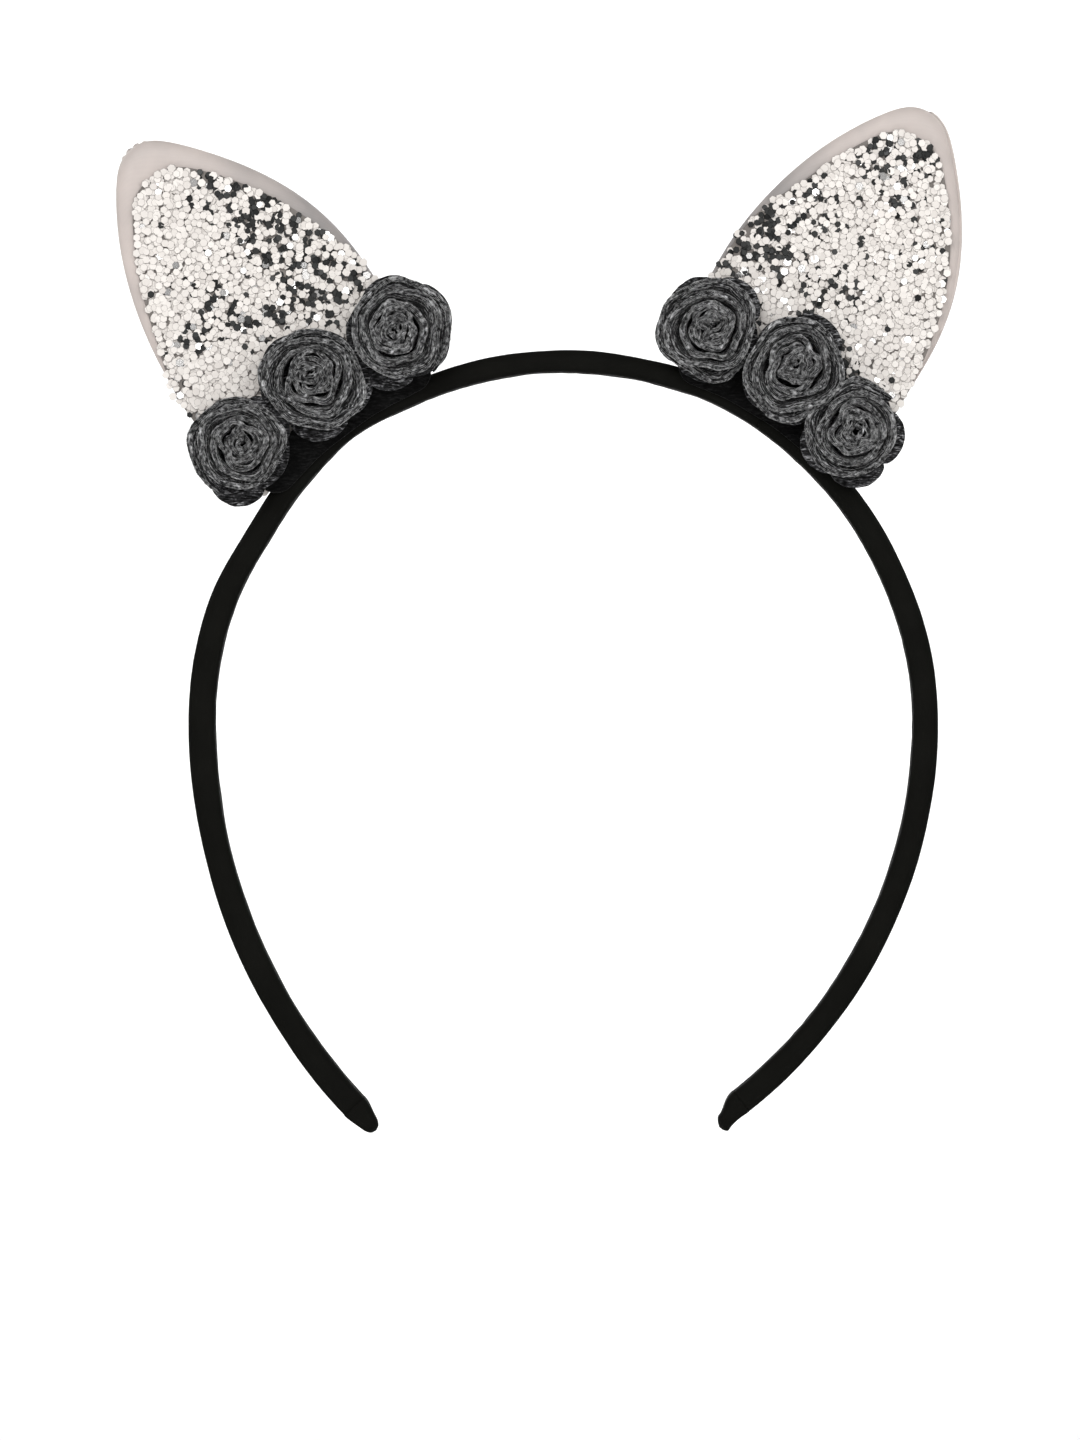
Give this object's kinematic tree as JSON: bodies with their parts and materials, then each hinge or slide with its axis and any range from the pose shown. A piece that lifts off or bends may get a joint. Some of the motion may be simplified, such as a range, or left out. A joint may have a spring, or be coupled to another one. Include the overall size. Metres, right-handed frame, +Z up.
{
  "type": "animal ears headband",
  "caption": "Padded satin-covered springy headband with two upright animal ears, each with a glitter panel and a row of rolled felt roses at its foot.",
  "frame": {"origin": "centre of the hoop's round opening, at the middle of the band's width", "axes": "+Z up from the opening's centre to the crown, +Y to the back, away from the roses, +X to the right as seen from the front; left and right in the node names are the viewer's"},
  "size_m": [0.1569, 0.0197, 0.191],
  "materials": {
    "band_satin": "black satin, soft sheen",
    "strip_plastic": "moulded, slightly satin",
    "padding_foam": "open foam, matte",
    "ear_satin": "beige satin, smooth with a soft sheen",
    "ear_felt": "stiff white felt, matte",
    "glitter": "chunky pearl and silver flakes on cloth",
    "rose_felt": "heather dark grey wool felt, matte and fuzzy",
    "base_felt": "black felt, matte",
    "glue": "set hot-melt glue, cloudy and glossy"
  },
  "bodies": {
    "crown": {"hoop_cover_crown": "band_satin", "hoop_padding_crown": "padding_foam", "hoop_core_crown": "strip_plastic", "ear_left_satin_front": "ear_satin", "ear_left_satin_back": "ear_satin", "ear_left_core": "ear_felt", "ear_left_glitter": "glitter", "ear_right_satin_front": "ear_satin", "ear_right_satin_back": "ear_satin", "ear_right_core": "ear_felt", "ear_right_glitter": "glitter", "glue_bead_left": "glue", "glue_bead_right": "glue", "base_felt_left": "base_felt", "base_felt_right": "base_felt", "rose_left_1_base": "rose_felt", "rose_left_2_base": "rose_felt", "rose_left_3_base": "rose_felt", "rose_left_1_strip": "rose_felt", "rose_left_2_strip": "rose_felt", "rose_left_3_strip": "rose_felt", "rose_right_1_base": "rose_felt", "rose_right_2_base": "rose_felt", "rose_right_3_base": "rose_felt", "rose_right_1_strip": "rose_felt", "rose_right_2_strip": "rose_felt", "rose_right_3_strip": "rose_felt"},
    "left_arm": {"hoop_cover_left": "band_satin", "hoop_padding_left": "padding_foam", "hoop_core_left": "strip_plastic", "tip_tab_left": "band_satin"},
    "right_arm": {"hoop_cover_right": "band_satin", "hoop_padding_right": "padding_foam", "hoop_core_right": "strip_plastic", "tip_tab_right": "band_satin"}
  },
  "joints": [
    {"name": "left_arm_flex", "type": "hinge", "parent": "crown", "child": "left_arm", "pos_m": [-0.06501, 0, 0.01742], "axis": [0, 1, 0], "range_deg": [-6, 22], "stiffness_Nm_per_rad": 0.6},
    {"name": "right_arm_flex", "type": "hinge", "parent": "crown", "child": "right_arm", "pos_m": [0.06501, 0, 0.01742], "axis": [0, -1, 0], "range_deg": [-6, 22], "stiffness_Nm_per_rad": 0.6}
  ]
}
